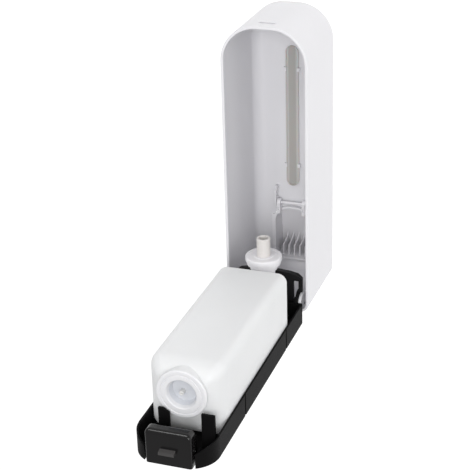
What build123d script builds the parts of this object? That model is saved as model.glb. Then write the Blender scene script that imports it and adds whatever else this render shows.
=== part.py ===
from build123d import *
import math
import os

# Wall mounted soap dispenser, mm. X runs across it, +Z up the wall, -Y out into the room.
# "out" is the distance from the wall, so out = -Y. The origin is on the wall, in the middle of
# the back plate. The cover is drawn closed and then swung open a quarter turn about its hinge,
# which is how the part rests.

# Back plate.
plate_half_w = 40.0
plate_half_h = 146.0
plate_t = 3.0
plate_corner_r = 28.0
side_wall_h = 23.0
side_wall_t = 2.0
latch_rim_h = 15.0
screw_x = plate_half_w - 11.0
screw_z = plate_half_h - 27.0
screw_hole_r = 2.6
groove_zs = (60.0 - plate_half_h, plate_half_h - 100.0)
groove_w = 2.6
groove_depth = 0.9
post_t = 2.6
post_h = 39.4
post_z = plate_half_h - 34.5
posts = ((6.0 - plate_half_w, 19.0 - plate_half_w), (10.5, 21.5))
post_slant_w = 7.0
post_slant_h = 5.0

# Hinge at the lower end.
hinge_out = 15.4
hinge_gap = 14.6
hinge_z = -plate_half_h - hinge_gap
pin_r = 1.8
pin_stand = 0.6
run_gap = 0.05
lug_t = 3.2
lug_outer = plate_half_w - 6.4
lug_inner = lug_outer - lug_t
lug_r = 17.0
lug_tail_r = 4.4
ear_gap = 0.4
ear_t = 3.0
ear_r = 14.0
hole_margin = 5.4

# Cover, closed.
cover_t = 3.0
cover_side_gap = 3.0
cover_half_w = plate_half_w + cover_side_gap + cover_t
cover_corner_r = plate_corner_r + 10.5
cover_top_gap = 2.7
cover_depth = 102.0
rim_out = 0.8
cover_front = rim_out + cover_depth
wall_in = cover_front - cover_t
cover_top = plate_half_h + cover_top_gap + cover_t
cover_bottom = hinge_z - 3.2
cover_low_r = 10.0
front_edge_r = 5.0
front_inner_r = 12.0
rim_edge_r = 0.9

# Lever, in the cover's front.
lever_half_w = 22.4
lever_gap = 0.6
lever_len = 65.0
lever_low = hinge_z + 10.6
lever_top = lever_low + lever_len
lever_low_gap = 2.6
lever_corner_r = lever_half_w - 3.4
lever_t = 2.2
lever_rim_out = cover_front - 7.3
lever_front_top = cover_front + 16.2
lever_front_low = cover_front + 24.2
lever_pivot_z = lever_top + 6.0
lever_pivot_out = cover_front - 9.3
lever_pin_r = 1.5
arm_r = 4.5
arm_x0 = 12.6
arm_x1 = 16.4
bracket_x0 = arm_x1 + 0.6
bracket_x1 = bracket_x0 + 2.6
bracket_rise = 19.0
fin_count = 5
fin_pitch = 6.5
fin_t = 1.5
fin_rise_low = 1.0
fin_rise = 8.0

# Level window, above the lever.
window_half_w = 4.0
window_low = lever_pivot_z + 23.0
window_high = plate_half_h - 46.0
strip_flange_w = 3.2
strip_t = 1.2
clip_zs = (window_high - 23.0, window_low + 21.5)
clip_len = 4.0
snug = 0.15

# Latch.
button_half_w = 22.6
button_gap = 2.2
button_back = 0.4
button_out = 36.0
button_len = 13.5
button_t = 2.2
button_travel = 3.5
button_edge_r = 5.0
button_side_r = 2.6
button_skin = 2.6
button_lip_t = 2.0
nub_half_w = 7.7
nub_low = 14.0
nub_high = 18.4
nub_len = 5.2
nub_ramp = 1.8
latch_slot_half_w = nub_half_w + 0.9
latch_slot_gap = 0.7
slide_gap = 0.35
latch_stop_gap = 5.5
latch_stop_t = 2.4
latch_stop_half_w = button_half_w - 3.1
rib_x = button_half_w - 6.2
rib_t = 2.6
rib_out = button_out - 10.0
latch_peg_r = 2.6

# Pump, across the wall direction.
cradle_z = -plate_half_h - 10.0
pump_over_cradle = 8.0
pump_r = 12.0
pump_z = cradle_z + pump_over_cradle + pump_r
pump_bore_r = pump_r - 3.0
pump_low = 24.0
pump_floor_t = 3.0
collar_out = cover_front - 22.0
pump_high = collar_out - 10.8
collar_r = pump_r + 7.5
collar_step_r = collar_r - 1.3
collar_skirt_r = pump_r + 2.6
piston_len = 6.0
piston_high = pump_high - 12.0
piston_low = piston_high - piston_len
piston_gap = 0.3
piston_r = pump_bore_r - piston_gap
piston_rim = 1.6
tube_r = piston_r - 1.4
tube_bore_r = tube_r - 2.7
tube_out = cover_front - 1.8
tube_bore_depth = 14.0
tube_gap = 0.06
spring_wire_r = 0.5
spring_gap = 0.2
pump_spring_r = pump_bore_r - 2.4

# Bottle, from the pump's neck nut up to below the latch.
neck_out = 41.0
neck_r = 12.0
neck_bore_r = neck_r - 3.0
neck_len = 14.0
nut_gap = 8.0
bottle_side_gap = 0.6
bottle_half_w = plate_half_w - side_wall_t - bottle_side_gap
bottle_back = 4.0
bottle_front = cover_front - 21.8
bottle_low = pump_z + pump_r + nut_gap + neck_len
bottle_high = plate_half_h - 42.0
bottle_side_r = 10.0
bottle_shoulder_r = 20.0
bottle_end_r = 5.0
bottle_t = 1.6
neck_end = bottle_low - neck_len
port_r = 2.2
ball_r = 2.8

# Refill opening and cap.
mouth_r = 23.6
cap_out = bottle_front - mouth_r - 3.9
mouth_bore_r = mouth_r - 4.0
mouth_top = bottle_high + 1.5
mouth_low = bottle_high - 6.5
cap_r = mouth_r + 1.2
cap_flange_t = 2.2
seal_t = 1.2
dish_r = mouth_bore_r - 5.0
dish_floor_r = dish_r - 2.6
dish_depth = 10.0
cap_t = 1.8
cap_lug_t = 1.6
vent_r = 2.4
vent_stem_r = 1.55
vent_x = 1.5
vent_shift = 1.5

# Nozzle.
nozzle_out = neck_out
nozzle_r = 5.0
nozzle_bore_r = nozzle_r - 2.4
nozzle_low = cradle_z - 14.0
spigot_gap = 0.05
touch = 0.02

# Cradle.
cradle_t = 3.0
cradle_half_w = plate_half_w - 2.7
cradle_foot_w = lug_inner - 0.8
cradle_high = 57.0
cradle_band = 8.0
cradle_band_depth = 6.0
cradle_slot_w = 5.5
cradle_slot_low = 24.0
cradle_slot_high = 45.5
notch_gap = 0.5
foot_screw_r = 1.4
foot_screw_x = cradle_foot_w - 8.0
foot_screw_z = -plate_half_h - 3.9
foot_head_r = 2.9
foot_head_t = 2.0
foot_t = 3.0
foot_gap = 0.2
drive_w = 0.8
drive_len = 4.0


def block(x0, x1, out0, out1, z0, z1):
    centre = Pos((x0 + x1) / 2, -(out0 + out1) / 2, (z0 + z1) / 2)
    return centre * Box(abs(x1 - x0), abs(out1 - out0), abs(z1 - z0))


def rod_x(x0, x1, out, z, r):
    return Pos((x0 + x1) / 2, -out, z) * Rot(0, 90, 0) * Cylinder(r, abs(x1 - x0))


def rod_y(x, z, out0, out1, r):
    return Pos(x, -(out0 + out1) / 2, z) * Rot(90, 0, 0) * Cylinder(r, abs(out1 - out0))


def rod_z(x, out, z0, z1, r):
    return Pos(x, -out, (z0 + z1) / 2) * Cylinder(r, abs(z1 - z0))


def arch(half, z0, z1, top_r, out0, out1, low_r=0.0):
    # A rectangle in the plane of the wall with rounded upper corners, raised from out0 to out1.
    sketch = Pos(0, (z0 + z1) / 2) * Rectangle(2 * half, z1 - z0)
    upper = [v for v in sketch.vertices() if v.Y > (z0 + z1) / 2]
    sketch = fillet(upper, top_r)
    if low_r > 0:
        lower = [v for v in sketch.vertices() if v.Y < z0 + 0.01]
        sketch = fillet(lower, low_r)
    return extrude(Plane.XZ.offset(out0) * sketch, amount=out1 - out0)


def side_prism(points, x0, x1):
    # A closed outline of (out, z) points, drawn out along X.
    face = make_face(Polyline(*[(-out, z) for out, z in points], close=True))
    return extrude(Plane.YZ.offset(x0) * face, amount=x1 - x0)


def cross_prism(points, z0, z1):
    # A closed outline of (x, out) points, drawn up along Z.
    face = make_face(Polyline(*[(x, -out) for x, out in points], close=True))
    return extrude(Plane.XY.offset(z0) * face, amount=z1 - z0)


def turned_z(points, x, out):
    # A ring shape from (radius, z) points, turned about a vertical line.
    face = make_face(Polyline(*points, close=True))
    return Pos(x, -out, 0) * revolve(Plane.XZ * face, Axis.Z)


def turned_y(points, x, z):
    # A ring shape from (radius, out) points, turned about a line straight out of the wall.
    face = make_face(Polyline(*[(r, -out) for r, out in points], close=True))
    return Pos(x, 0, z) * revolve(face, Axis.Y)


def coil(r, height, turns, wire_r):
    path = Helix(height / turns, height, r)
    start = path @ 0
    ring = Plane(origin=start, z_dir=path % 0) * Circle(wire_r)
    return sweep(ring, path=path, is_frenet=True)


def both_sides(shape):
    return shape + mirror(shape, Plane.YZ)


def swung_open(shape):
    return shape.rotate(Axis((0, -hinge_out, hinge_z), (1, 0, 0)), 90)


def screw_points():
    return [(x, z) for x in (-screw_x, screw_x) for z in (-screw_z, screw_z)]


def make_back_plate():
    inner_w = plate_half_w - side_wall_t
    inner_h = plate_half_h - side_wall_t
    inner_r = plate_corner_r - side_wall_t
    plate = arch(plate_half_w, -plate_half_h, plate_half_h, plate_corner_r, 0, side_wall_h, 2)
    plate -= arch(inner_w, -inner_h, inner_h, inner_r, plate_t, side_wall_h + 1, 1)
    # The rim falls away towards the latch.
    fall_z = plate_half_h - plate_corner_r
    slit_x = button_half_w + button_gap
    end_x = plate_half_w + 1
    fall = [(-end_x, side_wall_h), (-slit_x, latch_rim_h), (slit_x, latch_rim_h)]
    fall += [(end_x, side_wall_h), (end_x, side_wall_h + 5), (-end_x, side_wall_h + 5)]
    plate -= cross_prism(fall, fall_z, plate_half_h + 1)
    # Opening for the latch button, with a slit either side.
    notch_z = latch_notch_z()
    plate -= block(-slit_x, slit_x, -1, side_wall_h + 1, notch_z, plate_half_h + 1)
    # Shallow upright grooves on the outer sides.
    for z in groove_zs:
        low, high = z - groove_w / 2, z + groove_w / 2
        groove = block(plate_half_w - groove_depth, plate_half_w + 1, -1, side_wall_h + 1, low, high)
        plate -= both_sides(groove)
    # Bottle posts, one with a slanted top.
    for x0, x1 in posts:
        plate += block(x0, x1, plate_t - 1, post_h, post_z, post_z + post_t)
    slant_x = posts[1][0]
    slant = [(slant_x - 1, post_h - post_slant_h), (slant_x + post_slant_w, post_h + 0.5)]
    slant += [(slant_x - 1, post_h + 0.5)]
    plate -= cross_prism(slant, post_z - 1, post_z + post_t + 1)
    # Stop wall and two guide ribs for the latch button.
    stop_z = notch_z - latch_stop_gap
    stop_half = latch_stop_half_w
    plate += block(-stop_half, stop_half, plate_t - 1, side_wall_h, stop_z, stop_z + latch_stop_t)
    rib_high = plate_half_h - button_edge_r - button_travel - 0.5
    rib = block(rib_x - rib_t, rib_x, plate_t + 2, rib_out, stop_z + 2, rib_high)
    # Barbs that keep the button in.
    barb_low = plate_half_h - button_len + button_lip_t + 0.4
    rib += block(rib_x - 0.4, rib_x + 2.0, plate_t + 5, rib_out - 3, barb_low, barb_low + 2.2)
    plate += both_sides(rib)
    plate += rod_z(0, nub_high, stop_z + 2, stop_z + 8, latch_peg_r)
    # Tongue and hinge lugs below the side walls.
    tongue_z = hinge_z - lug_tail_r
    plate += block(-lug_outer, lug_outer, 0, plate_t, tongue_z, -plate_half_h + 1)
    lug = rod_x(lug_inner, lug_outer, hinge_out, hinge_z, lug_r)
    lug &= block(lug_inner, lug_outer, 0, hinge_out + lug_r, hinge_z, -plate_half_h + 2)
    lug += rod_x(lug_inner, lug_outer, hinge_out, hinge_z, lug_tail_r)
    lug += block(lug_inner, lug_outer, 0, hinge_out, tongue_z, -plate_half_h + 2)
    lug -= rod_x(lug_inner - 1, lug_outer + 1, hinge_out, hinge_z, pin_r)
    plate += both_sides(lug)
    for x, z in screw_points():
        plate -= rod_y(x, z, -1, plate_t + 1, screw_hole_r)
    for x in (-foot_screw_x, foot_screw_x):
        plate -= rod_y(x, foot_screw_z, -1, plate_t + 1, foot_screw_r)
    return plate


def latch_notch_z():
    return plate_half_h - button_len - button_travel - slide_gap


def make_cradle():
    low = plate_t
    shoulder = hinge_out + lug_r + 0.2
    corner = cradle_high - 7.5
    bow = 5.0
    outline = [(-cradle_foot_w, low), (-cradle_foot_w, shoulder), (-cradle_half_w, shoulder)]
    outline += [(-cradle_half_w, corner)]
    steps = 8
    for i in range(steps + 1):
        angle = math.pi * (1 - i / steps)
        x = (cradle_half_w - 2.5) * math.cos(angle)
        outline.append((x, cradle_high - bow + bow * math.sin(angle)))
    outline += [(cradle_half_w, corner), (cradle_half_w, shoulder)]
    outline += [(cradle_foot_w, shoulder), (cradle_foot_w, low)]
    wall = cross_prism(outline, cradle_z, cradle_z + cradle_t)
    band = cross_prism(outline, cradle_z, cradle_z + cradle_band_depth)
    band_low = cradle_high - cradle_band
    above = cradle_z + cradle_band_depth + 1
    band &= block(-cradle_half_w, cradle_half_w, band_low, cradle_high + 1, cradle_z, above)
    cradle = wall + band
    # Upright slots near both ends.
    slot_x = cradle_half_w - 4.2
    slot = block(slot_x - cradle_slot_w, slot_x, cradle_slot_low, cradle_slot_high, cradle_z - 1, above)
    cradle -= both_sides(slot)
    # The nozzle drops into a notch that is open at the front.
    notch_w = nozzle_r + notch_gap
    boss_w = nozzle_r + 1.5 + notch_gap
    front = cradle_high + 2
    notch = rod_z(0, nozzle_out, cradle_z - 1, above, notch_w)
    notch += block(-notch_w, notch_w, nozzle_out, front, cradle_z - 1, above)
    notch += block(-boss_w, boss_w, nozzle_out - boss_w, front, cradle_z + cradle_t, above)
    cradle -= notch
    cradle += block(-cradle_foot_w, cradle_foot_w, low, low + foot_t, cradle_z, -plate_half_h - 0.6)
    for x in (-foot_screw_x, foot_screw_x):
        cradle -= rod_y(x, foot_screw_z, low - 1, low + foot_t + 1, foot_screw_r + foot_gap)
    return cradle


def make_cradle_screws():
    head_low = plate_t + foot_t
    head_high = head_low + foot_head_t
    drive_low = head_high - 0.8
    screws = []
    for x in (-foot_screw_x, foot_screw_x):
        screw = rod_y(x, foot_screw_z, 0.6, head_low + 0.2, foot_screw_r)
        screw += rod_y(x, foot_screw_z, head_low, head_high, foot_head_r)
        for wide, tall in ((drive_len / 2, drive_w / 2), (drive_w / 2, drive_len / 2)):
            drive = block(x - wide, x + wide, drive_low, head_high + 1, -tall, tall)
            screw -= Pos(0, 0, foot_screw_z) * drive
        screws.append(screw)
    return screws[0] + screws[1]


def make_hinge_pins():
    pin = rod_x(lug_inner, lug_outer + ear_gap + ear_t + pin_stand, hinge_out, hinge_z, pin_r)
    return both_sides(pin)


def make_latch_button():
    back_z = plate_half_h - button_len
    button = block(-button_half_w, button_half_w, button_back, button_out, back_z, plate_half_h)
    button = fillet(button.edges().filter_by(Axis.Y), button_side_r)
    front = button.faces().filter_by(Axis.Y).sort_by(Axis.Y)[0].edges().sort_by(Axis.Z)[-1]
    button = fillet([front], button_edge_r)
    inner_w = button_half_w - button_t
    inner_top = plate_half_h - button_skin
    inner_out = button_out - button_skin
    button -= block(-inner_w, inner_w, button_back + button_t, inner_out, back_z - 1, inner_top)
    # Inner lips that rest on the guide ribs' barbs.
    lip_x = rib_x + slide_gap
    lip = block(lip_x, inner_w + 0.5, plate_t + 3, rib_out - 1, back_z, back_z + button_lip_t)
    button += both_sides(lip)
    button += rod_z(0, nub_high, inner_top - 4, inner_top + 0.5, latch_peg_r)
    nub = [(nub_low, plate_half_h - 0.5), (nub_high, plate_half_h - 0.5)]
    nub += [(nub_high - nub_ramp, plate_half_h + nub_len), (nub_low, plate_half_h + nub_len)]
    button += side_prism(nub, -nub_half_w, nub_half_w)
    return button


def make_latch_spring():
    low = latch_notch_z() - latch_stop_gap + latch_stop_t
    high = plate_half_h - button_skin
    length = high - low - 2 * (spring_wire_r + spring_gap)
    spring = coil(latch_peg_r + 1.4, length, 6, spring_wire_r)
    return Pos(0, -nub_high, low + spring_wire_r + spring_gap) * spring


def cover_solid(inset, out0, out1, edge_r):
    half = cover_half_w - inset
    low = cover_bottom + inset
    body = arch(half, low, cover_top - inset, cover_corner_r - inset, out0, out1, cover_low_r - inset)
    front = body.faces().filter_by(Axis.Y).sort_by(Axis.Y)[0]
    return fillet(front.edges(), edge_r)


def make_cover():
    cover = cover_solid(0, rim_out, cover_front, front_edge_r)
    cover -= cover_solid(cover_t, rim_out - 1, cover_front - cover_t, front_inner_r)
    rim = cover.faces().filter_by(Axis.Y).sort_by(Axis.Y)[-1]
    cover = fillet(rim.edges(), rim_edge_r)
    floor_high = cover_bottom + cover_t
    # The floor is cut back round the hinge lugs and opened for the nozzle.
    ear_x = lug_outer + ear_gap
    cover -= block(-ear_x, ear_x, -1, hinge_out + hole_margin, cover_bottom - 1, floor_high + 1)
    hole_half = nozzle_r + 1.6
    swing_high = nozzle_out + nozzle_r - hinge_out
    swing_drop = hinge_z - nozzle_low
    high = hinge_out + math.hypot(swing_high, swing_drop) + 1.0
    low = hinge_out + math.sqrt((nozzle_out - nozzle_r - hinge_out - 1.0) ** 2 - 4.0 ** 2)
    cover -= block(-hole_half, hole_half, low, high, cover_bottom - 1, floor_high + 1)
    # Hinge ears.
    ear = rod_x(ear_x, ear_x + ear_t, hinge_out, hinge_z, ear_r)
    ear &= block(ear_x, ear_x + ear_t, 0, 60, cover_bottom, 0)
    cover += both_sides(ear)
    cover -= both_sides(rod_x(ear_x - 1, ear_x + ear_t + 1, hinge_out, hinge_z, pin_r + run_gap))
    # Latch slot through the top.
    slot_low = nub_low - latch_slot_gap
    slot_high = nub_high + latch_slot_gap
    slot_z = cover_top - cover_t - 1
    cover -= block(-latch_slot_half_w, latch_slot_half_w, slot_low, slot_high, slot_z, cover_top + 1)
    # Window, with clips behind it.
    cover -= extrude(Plane.XZ.offset(wall_in - 1) * slot_outline(0), amount=cover_t + 2)
    flange_half = window_half_w + strip_flange_w
    bead_in = wall_in - 2 * strip_t - 0.1
    for z in clip_zs:
        low, high = z - clip_len / 2, z + clip_len / 2
        clip = block(flange_half + snug, flange_half + 1.8, bead_in - 1.2, wall_in + 0.5, low, high)
        clip += block(flange_half - 1.2, flange_half + 1.8, bead_in - 1.2, bead_in - 0.1, low, high)
        cover += both_sides(clip)
    # Lever opening and its brackets.
    open_half = lever_half_w + lever_gap
    open_top = lever_top + 1.0
    open_low = lever_low - lever_low_gap
    open_r = lever_corner_r + lever_gap
    cover -= arch(open_half, open_low, open_top, open_r, wall_in - 2, cover_front + 2, 1.0)
    reach_low = lever_top + 1.6
    reach_high = lever_pivot_z + bracket_rise
    reach = [(wall_in + 0.5, reach_high), (wall_in + 0.5, reach_low)]
    reach += [(lever_pivot_out - 3.5, reach_low), (lever_pivot_out - arm_r, lever_pivot_z)]
    reach += [(lever_pivot_out - arm_r, reach_high - 5.0), (lever_pivot_out, reach_high)]
    bracket = side_prism(reach, bracket_x0, bracket_x1)
    # Each bracket is a loop over the pivot.
    loop_low, loop_high = lever_pivot_z + arm_r + 1.5, reach_high - 4.0
    loop_out0, loop_out1 = lever_pivot_out - 1.0, wall_in - 1.6
    bracket -= block(bracket_x0 - 1, bracket_x1 + 1, loop_out0, loop_out1, loop_low, loop_high)
    bracket += rod_x(bracket_x0, bracket_x1, lever_pivot_out, lever_pivot_z, arm_r)
    bracket -= rod_x(bracket_x0 - 1, bracket_x1 + 1, lever_pivot_out, lever_pivot_z, lever_pin_r)
    cover += both_sides(bracket)
    return cover


def slot_outline(grow):
    # The window's rounded outline, grown on all sides.
    length = window_high - window_low + 2 * grow
    mid = (window_low + window_high) / 2
    return Pos(0, mid) * SlotOverall(length, 2 * (window_half_w + grow), rotation=90)


def make_window_strip():
    back = Plane.XZ.offset(wall_in - strip_t)
    flange = slot_outline(strip_flange_w)
    strip = extrude(back * flange, amount=strip_t - touch)
    strip += extrude(back * slot_outline(-snug), amount=strip_t + cover_t - 0.6)
    # A raised bead along the flange's edge.
    bead = flange - slot_outline(strip_flange_w - 1.2)
    strip += extrude(Plane.XZ.offset(wall_in - 2 * strip_t) * bead, amount=strip_t + 0.1)
    return strip


def make_lever_pin():
    return rod_x(-bracket_x1, bracket_x1, lever_pivot_out, lever_pivot_z, lever_pin_r)


def lever_wedge(inset):
    low = lever_low + inset
    top = lever_top - inset
    back = lever_rim_out - 3 * inset
    points = [(back, lever_low), (back, lever_top)]
    points += [(lever_front_top - inset, lever_top), (lever_front_low - inset, lever_low)]
    wedge = side_prism(points, -lever_half_w - 1, lever_half_w + 1)
    half = lever_half_w - inset
    return arch(half, low, top, lever_corner_r - inset, back, lever_front_low + 1, 1.5) & wedge


def make_lever():
    lever = lever_wedge(0) - lever_wedge(lever_t)
    # Side flanges that rest behind the cover's front.
    flange_low, flange_high = lever_low + 4, lever_top - 12
    edge_x = lever_half_w + 2.2
    flange = block(lever_half_w - 1.0, edge_x, wall_in - 2.5, wall_in - 0.3, flange_low, flange_high)
    lever += both_sides(flange)
    # Arms up to the pivot.
    arm_back, arm_front = lever_pivot_out - arm_r, lever_pivot_out + arm_r
    arm = block(arm_x0, arm_x1, arm_back, arm_front, lever_top - lever_t - 4, lever_pivot_z)
    arm += rod_x(arm_x0, arm_x1, lever_pivot_out, lever_pivot_z, arm_r)
    pocket_x0, pocket_x1 = arm_x0 + 1.2, arm_x1 - 1.2
    arm -= block(pocket_x0, pocket_x1, arm_back - 1, arm_back + 1.4, lever_top - 2, lever_pivot_z - 4)
    arm -= rod_x(arm_x0 - 1, arm_x1 + 1, lever_pivot_out, lever_pivot_z, lever_pin_r + run_gap)
    lever += both_sides(arm)
    # Fins that bear on the end of the plunger.
    near = tube_out + 0.5
    shelf_z = lever_low + lever_t - 0.5
    back = lever_front_top + 1.5
    points = [(near, shelf_z), (near, pump_z + fin_rise_low)]
    steps = 6
    for i in range(1, steps + 1):
        turn = math.pi / 2 * i / steps
        rise = fin_rise_low + fin_rise * (1 - math.cos(turn))
        points.append((near + (back - near) * math.sin(turn), pump_z + rise))
    points.append((lever_front_low - 1.0, shelf_z))
    for i in range(fin_count):
        x = (i - (fin_count - 1) / 2) * fin_pitch
        lever += side_prism(points, x - fin_t / 2, x + fin_t / 2)
    return lever


def bottle_body(inset):
    w = bottle_half_w - inset
    back, front = bottle_back + inset, bottle_front - inset
    body = block(-w, w, back, front, bottle_low + inset, bottle_high - inset)
    body = fillet(body.edges().filter_by(Axis.Z), bottle_side_r - inset)
    top = body.faces().sort_by(Axis.Z)[-1]
    body = fillet(top.edges(), bottle_shoulder_r - inset)
    low = body.faces().sort_by(Axis.Z)[0]
    return fillet(low.edges(), bottle_end_r - inset)


def make_bottle():
    body = bottle_body(0)
    body += rod_z(0, cap_out, mouth_low - 14, mouth_top, mouth_r)
    body += rod_z(0, neck_out, bottle_low - neck_len, bottle_low + 4, neck_r)
    body -= bottle_body(bottle_t)
    body -= rod_z(0, cap_out, mouth_low - 20, mouth_low, mouth_r - bottle_t)
    body -= rod_z(0, cap_out, mouth_low - 1, mouth_top + 1, mouth_bore_r)
    body -= rod_z(0, neck_out, bottle_low - neck_len - 1, bottle_low + 5, neck_bore_r)
    for i in range(3):
        z = bottle_low - 5.0 - 2.4 * i
        ring = rod_z(0, neck_out, z - 0.5, z + 0.5, neck_r + 0.8)
        body += ring - rod_z(0, neck_out, z - 1, z + 1, neck_r - 0.5)
    # Two entry notches let the cap's lugs pass the mouth.
    entry_r = mouth_bore_r + cap_lug_t + 0.3
    entry = block(-entry_r, entry_r, cap_out - 3, cap_out + 3, mouth_low - 1, mouth_top + 1)
    return body - entry


def make_cap():
    flange_low = mouth_top + seal_t
    flange_high = flange_low + cap_flange_t
    plug_r = mouth_bore_r - 0.3
    plug_in = plug_r - cap_t
    plug_low = mouth_low - 4.0
    dish_low = flange_high - dish_depth
    dish_under = dish_low - cap_t
    points = [(0, dish_under), (dish_floor_r + cap_t, dish_under), (dish_r + cap_t, flange_low)]
    points += [(plug_in, flange_low), (plug_in, plug_low), (plug_r, plug_low), (plug_r, flange_low)]
    points += [(cap_r, flange_low), (cap_r, flange_high - 0.8), (cap_r - 0.8, flange_high)]
    # A shallow ring groove near the edge.
    groove_r = cap_r - 4.5
    points += [(groove_r + 1.1, flange_high), (groove_r + 0.7, flange_high - 0.7)]
    points += [(groove_r - 0.7, flange_high - 0.7), (groove_r - 1.1, flange_high)]
    points += [(dish_r + 1.0, flange_high), (dish_r, flange_high - 1.0)]
    points += [(dish_floor_r, dish_low), (0, dish_low)]
    cap = turned_z(points, 0, cap_out)
    lug_ring = rod_z(0, cap_out, mouth_low - 3.4, mouth_low - 0.5, plug_r + cap_lug_t)
    lug_ring -= rod_z(0, cap_out, mouth_low - 5, mouth_low + 1, plug_r - 0.6)
    cap += lug_ring & block(-2.6, 2.6, cap_out - cap_r, cap_out + cap_r, mouth_low - 4, mouth_low)
    return cap - rod_z(vent_x, cap_out - vent_shift, dish_under - 1, dish_low + 1, vent_stem_r + 0.05)


def make_cap_seal():
    ring = rod_z(0, cap_out, mouth_top + touch, mouth_top + seal_t - touch, mouth_r - 0.4)
    return ring - rod_z(0, cap_out, mouth_top - 1, mouth_top + seal_t + 1, mouth_bore_r + 0.8)


def make_vent():
    dish_low = mouth_top + seal_t + cap_flange_t - dish_depth
    skirt = dish_low - cap_t - touch
    points = [(0, skirt - 1.4), (4.2, skirt - 0.5), (4.2, skirt)]
    points += [(vent_stem_r, skirt), (vent_stem_r, dish_low + touch), (vent_r, dish_low + touch)]
    points += [(vent_r, dish_low + 5.4), (vent_r - 0.6, dish_low + 6.0), (1.1, dish_low + 6.0)]
    points += [(0, dish_low + 5.0)]
    return turned_z(points, vent_x, cap_out - vent_shift)


def make_neck_seal():
    ring = rod_z(0, neck_out, neck_end - 1.5 + touch, neck_end - touch, neck_r - 0.2)
    return ring - rod_z(0, neck_out, neck_end - 3, neck_end + 1, neck_bore_r + 0.1)


def make_neck_nut():
    low = neck_end - 6.4
    high = bottle_low - 2.5
    nut = rod_z(0, neck_out, low, high, neck_r + 4.2)
    nut -= rod_z(0, neck_out, neck_end - 4.3, high + 1, neck_r + 0.95)
    nut -= rod_z(0, neck_out, low - 1, high, neck_bore_r + 1.6)
    # Grip flutes round the outside.
    flutes = 24
    flute_r = neck_r + 4.5
    for i in range(flutes):
        angle = 2 * math.pi * i / flutes
        x = flute_r * math.cos(angle)
        nut -= rod_z(x, neck_out + flute_r * math.sin(angle), low - 1, high + 1, 0.7)
    return nut


def make_pump_body():
    body = rod_y(0, pump_z, pump_low, pump_high, pump_r)
    stub_top = neck_end + 8.0
    body += rod_z(0, neck_out, pump_z, stub_top, neck_bore_r - 0.5)
    body += rod_z(0, neck_out, neck_end - 4.2, neck_end - 1.5, neck_r + 0.6)
    boss_low = cradle_z + cradle_t + 0.6
    body += rod_z(0, nozzle_out, boss_low, pump_z, nozzle_r + 1.5)
    body -= rod_y(0, pump_z, pump_low + pump_floor_t, pump_high + 1, pump_bore_r)
    # Inlet: a ball drops onto a small seat when the chamber is under pressure.
    body -= rod_z(0, neck_out, stub_top - 2.5, stub_top + 1, port_r)
    body -= rod_z(0, neck_out, stub_top - 10.0, stub_top - 2.5, ball_r + 0.4)
    body -= rod_z(0, neck_out, pump_z, stub_top - 9.5, port_r + 0.2)
    body -= rod_z(0, nozzle_out, boss_low - 1, pump_z, nozzle_r - 1.4 + spigot_gap)
    return body


def make_inlet_ball():
    return Pos(0, -neck_out, neck_end + 8.0 - 2.5 - ball_r - 0.4) * Sphere(ball_r)


def make_pump_collar():
    low = pump_high - 4.0
    sleeve_low = piston_high + 0.1
    sleeve_r = pump_bore_r - 0.1
    over_r = pump_r + run_gap
    points = [(over_r, low), (collar_skirt_r, low), (collar_skirt_r, pump_high)]
    points += [(collar_step_r, pump_high + 1.6), (collar_step_r, collar_out - 5.6)]
    points += [(collar_r, collar_out - 5.2), (collar_r, collar_out - 0.8), (collar_r - 0.8, collar_out)]
    points += [(collar_r - 3.6, collar_out), (collar_r - 4.1, collar_out - 0.5)]
    points += [(tube_r + 3.4, collar_out - 0.5), (tube_r + 2.8, collar_out)]
    points += [(tube_r + tube_gap, collar_out), (tube_r + tube_gap, sleeve_low)]
    points += [(sleeve_r, sleeve_low), (sleeve_r, pump_high + 1.5), (over_r, pump_high + 1.5)]
    return turned_y(points, 0, pump_z)


def make_plunger():
    waist_r = piston_r - 1.2
    points = [(0, piston_low), (piston_r, piston_low), (piston_r, piston_low + piston_rim)]
    points += [(waist_r, piston_low + piston_rim), (waist_r, piston_high - piston_rim)]
    points += [(piston_r, piston_high - piston_rim), (piston_r, piston_high)]
    points += [(tube_r, piston_high), (tube_r, tube_out - 0.6), (tube_r - 0.6, tube_out)]
    points += [(tube_bore_r + 0.4, tube_out), (tube_bore_r, tube_out - 0.4)]
    points += [(tube_bore_r, tube_out - tube_bore_depth), (0, tube_out - tube_bore_depth)]
    return turned_y(points, 0, pump_z)


def make_plunger_seal():
    low = piston_low + piston_rim + 0.05
    high = piston_high - piston_rim - 0.05
    inner_r = piston_r - 1.2 + touch
    outer_r = pump_bore_r - 0.03
    return turned_y([(inner_r, low), (outer_r, low), (outer_r, high), (inner_r, high)], 0, pump_z)


def make_pump_spring():
    low = pump_low + pump_floor_t
    length = piston_low - low - 2 * (spring_wire_r + spring_gap)
    spring = coil(pump_spring_r, length, 7, spring_wire_r)
    return Pos(0, -(low + spring_wire_r + spring_gap), pump_z) * Rot(90, 0, 0) * spring


def make_nozzle():
    spigot_top = pump_z - pump_r - 1.0
    flange_z = cradle_z + cradle_t + 0.5
    nozzle = rod_z(0, nozzle_out, nozzle_low, flange_z, nozzle_r)
    nozzle += rod_z(0, nozzle_out, flange_z - 0.5, spigot_top, nozzle_r - 1.4)
    nozzle -= rod_z(0, nozzle_out, nozzle_low - 1, spigot_top + 1, nozzle_bore_r)
    # A bevel round the lower end.
    ring = rod_z(0, nozzle_out, nozzle_low - 0.01, nozzle_low + 1.0, nozzle_r + 1)
    return nozzle - (ring - Pos(0, -nozzle_out, nozzle_low + 0.5) * Cone(nozzle_r - 1.0, nozzle_r, 1.02))


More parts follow.
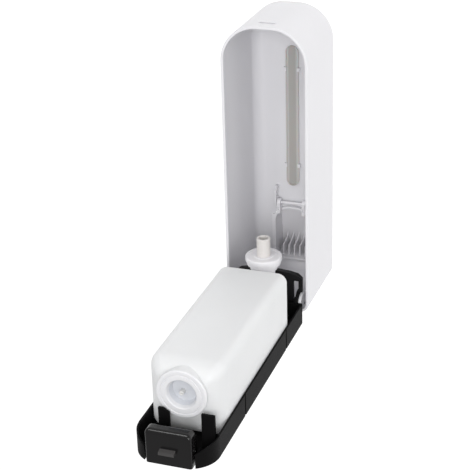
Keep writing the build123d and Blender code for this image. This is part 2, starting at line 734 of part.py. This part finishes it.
def make_outlet_valve():
    top = pump_z - pump_r - 2.0
    valve_r = nozzle_bore_r - 0.03
    points = [(0, top), (valve_r, top), (valve_r, top - 2.5), (0.9, top - 8.0), (0, top - 8.0)]
    return turned_z(points, 0, nozzle_out) - rod_z(0, nozzle_out, top - 5.0, top + 1, 1.2)


nodes = {
    "back_plate": make_back_plate(),
    "pump_cradle": make_cradle(),
    "cradle_screws": make_cradle_screws(),
    "hinge_pins": make_hinge_pins(),
    "latch_button": make_latch_button(),
    "latch_spring": make_latch_spring(),
    "cover_shell": swung_open(make_cover()),
    "window_strip": swung_open(make_window_strip()),
    "lever_pin": swung_open(make_lever_pin()),
    "push_lever": swung_open(make_lever()),
    "bottle": make_bottle(),
    "refill_cap": make_cap(),
    "cap_seal": make_cap_seal(),
    "vent_valve": make_vent(),
    "neck_nut": make_neck_nut(),
    "neck_seal": make_neck_seal(),
    "pump_body": make_pump_body(),
    "pump_collar": make_pump_collar(),
    "plunger": make_plunger(),
    "plunger_seal": make_plunger_seal(),
    "pump_spring": make_pump_spring(),
    "inlet_ball": make_inlet_ball(),
    "outlet_valve": make_outlet_valve(),
    "nozzle": make_nozzle(),
}

os.makedirs("parts", exist_ok=True)
for name, shape in nodes.items():
    export_step(shape, f"parts/{name}.step")
    print(name, len(shape.solids()), round(shape.volume, 1), shape.is_valid)
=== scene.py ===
import math

import bpy
from mathutils import Matrix, Vector


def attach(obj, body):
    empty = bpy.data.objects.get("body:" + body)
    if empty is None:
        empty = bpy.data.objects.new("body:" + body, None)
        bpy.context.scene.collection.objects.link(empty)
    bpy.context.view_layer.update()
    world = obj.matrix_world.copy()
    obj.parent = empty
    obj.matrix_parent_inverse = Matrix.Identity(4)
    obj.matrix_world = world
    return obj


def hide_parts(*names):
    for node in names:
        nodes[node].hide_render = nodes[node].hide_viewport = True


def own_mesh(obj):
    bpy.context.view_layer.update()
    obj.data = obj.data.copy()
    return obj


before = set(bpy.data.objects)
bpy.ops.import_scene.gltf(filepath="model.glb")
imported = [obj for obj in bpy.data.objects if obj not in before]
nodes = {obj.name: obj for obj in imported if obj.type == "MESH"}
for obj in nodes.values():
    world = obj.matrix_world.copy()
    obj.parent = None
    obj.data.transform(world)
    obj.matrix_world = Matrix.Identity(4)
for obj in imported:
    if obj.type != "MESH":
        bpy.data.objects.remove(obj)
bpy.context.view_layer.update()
print("frame loaded,", len(nodes), "nodes")


# Noise keeps mostly between these two, so colours and gloss are spread over that span.
noiseLow = 0.3
noiseHigh = 0.7


def newMaterial(name):
    material = bpy.data.materials.new(name)
    material.use_nodes = True
    tree = material.node_tree
    shader = tree.nodes["Principled BSDF"]
    return material, tree, shader


def objectPoint(tree):
    return tree.nodes.new("ShaderNodeTexCoord").outputs["Object"]


def noiseAt(tree, point, scale, detail, rough=0.5):
    noise = tree.nodes.new("ShaderNodeTexNoise")
    noise.inputs["Scale"].default_value = scale
    noise.inputs["Detail"].default_value = detail
    noise.inputs["Roughness"].default_value = rough
    tree.links.new(point, noise.inputs["Vector"])
    return noise.outputs["Fac"]


def ramp(tree, factor, low, high, colours):
    node = tree.nodes.new("ShaderNodeValToRGB")
    node.color_ramp.elements[0].position = low
    node.color_ramp.elements[1].position = high
    node.color_ramp.elements[0].color = (*colours[0], 1)
    node.color_ramp.elements[1].color = (*colours[1], 1)
    tree.links.new(factor, node.inputs["Fac"])
    return node.outputs["Color"]


def spread(tree, factor, low, high):
    node = tree.nodes.new("ShaderNodeMapRange")
    node.inputs["From Min"].default_value = noiseLow
    node.inputs["From Max"].default_value = noiseHigh
    node.inputs["To Min"].default_value = low
    node.inputs["To Max"].default_value = high
    tree.links.new(factor, node.inputs["Value"])
    return node.outputs["Result"]


def bumpFrom(tree, height, distance, under=None):
    node = tree.nodes.new("ShaderNodeBump")
    node.inputs["Strength"].default_value = 1.0
    node.inputs["Distance"].default_value = distance
    tree.links.new(height, node.inputs["Height"])
    if under is not None:
        tree.links.new(under, node.inputs["Normal"])
    return node.outputs["Normal"]


# Above a height the colour turns into a paler one: a painted highlight on the raised nub of the latch and on
# the ring of the cap.
paintedHighlightBlend = 0.0002


def paintHighlightAbove(tree, shader, point, height, colour):
    base = shader.inputs["Base Color"].links[0].from_socket
    parts = tree.nodes.new("ShaderNodeSeparateXYZ")
    tree.links.new(point, parts.inputs["Vector"])
    step = tree.nodes.new("ShaderNodeMapRange")
    step.inputs["From Min"].default_value = height - paintedHighlightBlend
    step.inputs["From Max"].default_value = height + paintedHighlightBlend
    tree.links.new(parts.outputs["Z"], step.inputs["Value"])
    mix = tree.nodes.new("ShaderNodeMix")
    mix.data_type = "RGBA"
    mix.inputs["B"].default_value = (*colour, 1)
    tree.links.new(step.outputs["Result"], mix.inputs["Factor"])
    tree.links.new(base, mix.inputs["A"])
    tree.links.new(mix.outputs["Result"], shader.inputs["Base Color"])


# Moulded plastics: a slight drift of colour and gloss over the part, and a fine skin texture.
plasticBase = dict(driftDetail=2.0, grainDetail=4.0, grainRough=0.6, waveScale=55.0, waveDetail=1.0,
                   waveDepth=0.00008, ior=1.48, sheen=0.5, scatterReach=(1.0, 0.95, 0.9), scatterDepth=0.002)


def mouldedPlastic(name, finish):
    look = {**plasticBase, **finish}
    material, tree, shader = newMaterial(name)
    point = objectPoint(tree)
    drift = noiseAt(tree, point, look["driftScale"], look["driftDetail"])
    shade = look["colour"]
    dim = [c * look["drift"] for c in shade]
    tree.links.new(ramp(tree, drift, noiseLow, noiseHigh, (dim, shade)), shader.inputs["Base Color"])
    grain = noiseAt(tree, point, look["grainScale"], look["grainDetail"], look["grainRough"])
    tree.links.new(spread(tree, grain, look["rough"][0], look["rough"][1]), shader.inputs["Roughness"])
    wave = noiseAt(tree, point, look["waveScale"], look["waveDetail"])
    soft = bumpFrom(tree, wave, look["waveDepth"])
    tree.links.new(bumpFrom(tree, grain, look["grainDepth"], soft), shader.inputs["Normal"])
    shader.inputs["IOR"].default_value = look["ior"]
    shader.inputs["Specular IOR Level"].default_value = look["sheen"]
    if "scatter" in look:
        shader.inputs["Subsurface Weight"].default_value = look["scatter"]
        shader.inputs["Subsurface Radius"].default_value = look["scatterReach"]
        shader.inputs["Subsurface Scale"].default_value = look["scatterDepth"]
    # A faint glow in the part's own colour is painted light: it brightens the milky bottle, cap and pump
    # collar where the lamps leave them in shade.
    if "paintedGlow" in look:
        shader.inputs["Emission Color"].default_value = (*look["colour"], 1)
        shader.inputs["Emission Strength"].default_value = look["paintedGlow"]
    # The paler colour above a given height is a painted highlight on the raised top.
    if "paintedHighlight" in look:
        paintHighlightAbove(tree, shader, point, look["paintedHighlightFrom"], look["paintedHighlight"])
    return material


# Drawn or turned steel: fine lines along the part and a little tarnish.
steelBase = dict(lineDetail=3.0, lineDepth=0.00004)


def drawnSteel(name, finish):
    look = {**steelBase, **finish}
    material, tree, shader = newMaterial(name)
    point = objectPoint(tree)
    mapping = tree.nodes.new("ShaderNodeMapping")
    mapping.inputs["Scale"].default_value = look["stretch"]
    tree.links.new(point, mapping.inputs["Vector"])
    lines = noiseAt(tree, mapping.outputs["Vector"], look["lineScale"], look["lineDetail"])
    tree.links.new(ramp(tree, lines, noiseLow, noiseHigh, look["colours"]), shader.inputs["Base Color"])
    tree.links.new(spread(tree, lines, look["rough"][0], look["rough"][1]), shader.inputs["Roughness"])
    tree.links.new(bumpFrom(tree, lines, look["lineDepth"]), shader.inputs["Normal"])
    shader.inputs["Metallic"].default_value = 1.0
    return material


finishes = {
    "blackPlate": dict(colour=(0.006, 0.0057, 0.006), drift=0.7, driftScale=9.0, grainScale=1300.0,
                       grainDepth=0.00008, rough=(0.5, 0.7), sheen=0.07),
    "blackCradle": dict(colour=(0.009, 0.0085, 0.0095), drift=0.75, driftScale=14.0, grainScale=900.0,
                        grainDepth=0.00005, rough=(0.38, 0.55), sheen=0.3),
    "darkLatch": dict(colour=(0.007, 0.0065, 0.0068), drift=0.8, driftScale=16.0, grainScale=700.0,
                      grainDepth=0.000003, rough=(0.16, 0.24), sheen=0.34, waveDepth=0.000003,
                      paintedHighlight=(0.055, 0.052, 0.052), paintedHighlightFrom=0.1465),
    "whiteShell": dict(colour=(0.765, 0.760, 0.783), drift=0.97, driftScale=6.0, grainScale=1100.0,
                       grainDepth=0.00003, rough=(0.36, 0.48), scatter=0.1, scatterDepth=0.0012),
    # The lever and its pin are a paler white than the shell: painted light that lifts the deep, shaded cup of
    # the lever.
    "whiteLeverPaintedBright": dict(colour=(0.84, 0.832, 0.855), drift=0.965, driftScale=9.0, grainScale=1000.0,
                       grainDepth=0.00003, rough=(0.32, 0.44), scatter=0.1, scatterDepth=0.0012),
    # The bottle, cap and cool pump finishes glow faintly, painted light that lifts their shaded sides.
    "milkyBottle": dict(colour=(0.72, 0.725, 0.73), drift=0.96, driftScale=10.0, grainScale=420.0,
                        grainDepth=0.00005, rough=(0.38, 0.52), scatter=0.35, scatterDepth=0.004, paintedGlow=0.05,
                        waveScale=24.0, waveDepth=0.0004),
    "milkyCap": dict(colour=(0.60, 0.615, 0.65), drift=0.96, driftScale=18.0, grainScale=500.0,
                     grainDepth=0.00004, rough=(0.36, 0.48), scatter=0.3, scatterDepth=0.003, paintedGlow=0.05,
                     paintedHighlight=(0.72, 0.72, 0.735), paintedHighlightFrom=0.1045),
    "warmPump": dict(colour=(0.70, 0.675, 0.655), drift=0.97, driftScale=16.0, grainScale=800.0,
                     grainDepth=0.00003, rough=(0.3, 0.42), scatter=0.3, scatterDepth=0.002),
    "coolPump": dict(colour=(0.80, 0.79, 0.81), drift=0.96, driftScale=14.0, grainScale=700.0,
                     grainDepth=0.00003, rough=(0.34, 0.46), scatter=0.2, scatterDepth=0.003, paintedGlow=0.03),
    "greyNut": dict(colour=(0.60, 0.60, 0.62), drift=0.96, driftScale=20.0, grainScale=700.0,
                    grainDepth=0.00004, rough=(0.38, 0.5), scatter=0.1),
    "softWhite": dict(colour=(0.66, 0.66, 0.65), drift=0.95, driftScale=30.0, grainScale=600.0,
                      grainDepth=0.00004, rough=(0.5, 0.65), scatter=0.3),
}
steels = {
    "springWire": dict(stretch=(1, 1, 0.15), lineScale=900.0, rough=(0.2, 0.36),
                       colours=((0.42, 0.42, 0.43), (0.62, 0.62, 0.63))),
    "zincScrew": dict(stretch=(1, 0.2, 1), lineScale=700.0, colours=((0.36, 0.36, 0.35), (0.55, 0.55, 0.54)),
                      rough=(0.3, 0.45)),
    "ballSteel": dict(stretch=(1, 1, 1), lineScale=200.0, colours=((0.60, 0.60, 0.61), (0.68, 0.68, 0.69)),
                      rough=(0.06, 0.12)),
}
# The strip is thin and pale over the white wall and darker where the thick bead fills the window.
stripLook = dict(pale=(0.56, 0.55, 0.535), thick=(0.43, 0.415, 0.395), beadHalf=0.0034, beadSoft=0.0014,
                 grainScale=800.0, grainDetail=4.0, grainRough=0.6, grainDepth=0.00005, rough=(0.34, 0.5),
                 scatter=0.3, scatterDepth=0.004)


def frostedStrip(name, look):
    material, tree, shader = newMaterial(name)
    point = objectPoint(tree)
    parts = tree.nodes.new("ShaderNodeSeparateXYZ")
    tree.links.new(point, parts.inputs["Vector"])
    across = tree.nodes.new("ShaderNodeMath")
    across.operation = "ABSOLUTE"
    tree.links.new(parts.outputs["X"], across.inputs[0])
    edge = tree.nodes.new("ShaderNodeMapRange")
    edge.interpolation_type = "SMOOTHSTEP"
    edge.inputs["From Min"].default_value = look["beadHalf"]
    edge.inputs["From Max"].default_value = look["beadHalf"] + look["beadSoft"]
    tree.links.new(across.outputs["Value"], edge.inputs["Value"])
    tone = ramp(tree, edge.outputs["Result"], 0.0, 1.0, (look["thick"], look["pale"]))
    tree.links.new(tone, shader.inputs["Base Color"])
    grain = noiseAt(tree, point, look["grainScale"], look["grainDetail"], look["grainRough"])
    tree.links.new(spread(tree, grain, look["rough"][0], look["rough"][1]), shader.inputs["Roughness"])
    tree.links.new(bumpFrom(tree, grain, look["grainDepth"]), shader.inputs["Normal"])
    shader.inputs["Subsurface Weight"].default_value = look["scatter"]
    shader.inputs["Subsurface Scale"].default_value = look["scatterDepth"]
    return material


materials = {name: mouldedPlastic(name, look) for name, look in finishes.items()}
materials["frostedStrip"] = frostedStrip("frostedStrip", stripLook)
materials.update({name: drawnSteel(name, look) for name, look in steels.items()})

wears = {
    "back_plate": "blackPlate", "pump_cradle": "blackCradle", "cradle_screws": "zincScrew",
    "hinge_pins": "springWire", "latch_button": "darkLatch", "latch_spring": "springWire",
    "cover_shell": "whiteShell", "window_strip": "frostedStrip", "lever_pin": "whiteLeverPaintedBright",
    "push_lever": "whiteLeverPaintedBright", "bottle": "milkyBottle", "refill_cap": "milkyCap", "cap_seal": "softWhite",
    "vent_valve": "softWhite", "neck_nut": "greyNut", "neck_seal": "softWhite", "pump_body": "coolPump",
    "pump_collar": "coolPump", "plunger": "warmPump", "plunger_seal": "softWhite",
    "pump_spring": "springWire", "inlet_ball": "ballSteel", "outlet_valve": "softWhite", "nozzle": "warmPump",
}
for name, node in nodes.items():
    node.data.materials.clear()
    node.data.materials.append(materials[wears[name]])
print("materials on all nodes")


# The two springs are wound here and stand in for the hidden spring parts.
pumpCoil = dict(coilR=0.0066, wireR=0.0005, length=0.0236, turns=7, place=(0, -0.0277, -0.136),
                tilt=math.pi / 2, body="refill", stands="pump_spring", joint="plunger_slide",
                along=(0, 1, 0), foot=(0, -0.0272, -0.136), keep=0.66)
latchCoil = dict(coilR=0.004, wireR=0.0005, length=0.01645, turns=6, place=(0, -0.0184, 0.12625),
                 tilt=0.0, body="base", stands="latch_spring", joint="latch_press",
                 along=(0, 0, 1), foot=(0, -0.0184, 0.12575), keep=0.79)
wire = dict(sides=16, stepsPerTurn=36, smoothAngle=40)


def windCoil(name, look):
    bpy.ops.object.select_all(action="DESELECT")
    bpy.ops.mesh.primitive_circle_add(vertices=wire["sides"], radius=look["wireR"],
                                      location=(look["coilR"], 0, 0), rotation=(math.pi / 2, 0, 0))
    coil = bpy.context.object
    coil.name = name
    bpy.ops.object.transform_apply(location=True, rotation=True, scale=True)
    bpy.context.scene.cursor.location = (0, 0, 0)
    bpy.ops.object.origin_set(type="ORIGIN_CURSOR")
    wind = coil.modifiers.new("wind", "SCREW")
    wind.axis = "Z"
    wind.screw_offset = look["length"] / look["turns"]
    wind.iterations = look["turns"]
    wind.steps = wire["stepsPerTurn"]
    wind.render_steps = wire["stepsPerTurn"]
    bpy.ops.object.modifier_apply(modifier=wind.name)
    # close the wire's cut ends and point all faces outwards
    bpy.ops.object.mode_set(mode="EDIT")
    bpy.ops.mesh.select_all(action="DESELECT")
    bpy.ops.mesh.select_mode(type="EDGE")
    bpy.ops.mesh.select_non_manifold()
    bpy.ops.mesh.fill_holes(sides=0)
    bpy.ops.mesh.select_all(action="SELECT")
    bpy.ops.mesh.normals_make_consistent(inside=False)
    bpy.ops.object.mode_set(mode="OBJECT")
    bpy.ops.object.shade_smooth_by_angle(angle=math.radians(wire["smoothAngle"]))
    coil.rotation_euler = (look["tilt"], 0, 0)
    coil.location = look["place"]
    bpy.ops.object.transform_apply(location=True, rotation=True, scale=True)
    coil.data.materials.clear()
    coil.data.materials.append(materials["springWire"])
    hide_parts(look["stands"])
    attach(coil, look["body"])
    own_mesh(coil)


windCoil("pumpCoil", pumpCoil)
windCoil("latchCoil", latchCoil)
print("springs wound")

stageLook = dict(floorZ=-0.75, floorSize=60.0, floorColour=(0.86, 0.86, 0.86), dim=0.99, rough=0.9,
                 paintedGlow=0.44, cloudScale=0.6, cloudDetail=2.0, cloudEnds=(0.2, 0.8))


def makeFloor():
    bpy.ops.object.select_all(action="DESELECT")
    bpy.ops.mesh.primitive_plane_add(size=stageLook["floorSize"], location=(0, 0, stageLook["floorZ"]))
    floor = bpy.context.object
    floor.name = "floor"
    bpy.ops.object.transform_apply(location=True, rotation=True, scale=True)
    material, tree, shader = newMaterial("paleFloor")
    point = objectPoint(tree)
    cloud = noiseAt(tree, point, stageLook["cloudScale"], stageLook["cloudDetail"])
    near = stageLook["floorColour"]
    far = [c * stageLook["dim"] for c in near]
    tree.links.new(ramp(tree, cloud, *stageLook["cloudEnds"], (far, near)), shader.inputs["Base Color"])
    shader.inputs["Roughness"].default_value = stageLook["rough"]
    shader.inputs["Emission Color"].default_value = (1, 1, 1, 1)
    shader.inputs["Emission Strength"].default_value = stageLook["paintedGlow"]
    floor.data.materials.append(material)


makeFloor()

roomLook = dict(colour=(1.0, 1.0, 1.0), strength=0.48)
world = bpy.data.worlds.new("softRoom")
bpy.context.scene.world = world
world.use_nodes = True
world.node_tree.nodes["Background"].inputs["Color"].default_value = (*roomLook["colour"], 1)
world.node_tree.nodes["Background"].inputs["Strength"].default_value = roomLook["strength"]


lamps = {
    "topSoftbox": dict(place=(-0.5, -0.7, 2.1), aim=(0, -0.12, -0.05), size=1.3, power=27.0),
    "sideSoftbox": dict(place=(-2.0, -0.7, 1.1), aim=(0, -0.12, -0.05), size=1.8, power=11.0),
    "frontSoftbox": dict(place=(0.55, -1.6, 1.05), aim=(0, -0.1, 0.0), size=0.5, power=6.0),
}


def softLight(name, look):
    bpy.ops.object.select_all(action="DESELECT")
    bpy.ops.object.light_add(type="AREA", location=look["place"])
    lamp = bpy.context.object
    lamp.name = name
    lamp.data.shape = "DISK"
    lamp.data.size = look["size"]
    lamp.data.energy = look["power"]
    lamp.rotation_euler = (Vector(look["aim"]) - Vector(look["place"])).to_track_quat("-Z", "Y").to_euler()


for name, look in lamps.items():
    softLight(name, look)

cameraLook = dict(lens=103.35, sensor=36.0, shift=(-0.02145, -0.0329), clipEnd=100.0,
                  place=(-0.4107, -0.7116, 1.0845), right=(-0.9462, 0.0230, -0.3227),
                  up=(0.1145, -0.9091, -0.4006))
cameraData = bpy.data.cameras.new("camera")
camera = bpy.data.objects.new("camera", cameraData)
bpy.context.scene.collection.objects.link(camera)
cameraData.lens = cameraLook["lens"]
cameraData.sensor_width = cameraLook["sensor"]
cameraData.shift_x = cameraLook["shift"][0]
cameraData.shift_y = cameraLook["shift"][1]
cameraData.clip_end = cameraLook["clipEnd"]
right = Vector(cameraLook["right"]).normalized()
up = Vector(cameraLook["up"]).normalized()
back = right.cross(up).normalized()
up = back.cross(right).normalized()
turn = Matrix((right, up, back)).transposed()
camera.matrix_world = Matrix.Translation(cameraLook["place"]) @ turn.to_4x4()
bpy.context.scene.camera = camera
bpy.context.scene.view_settings.view_transform = "Standard"
print("floor, light and camera set")
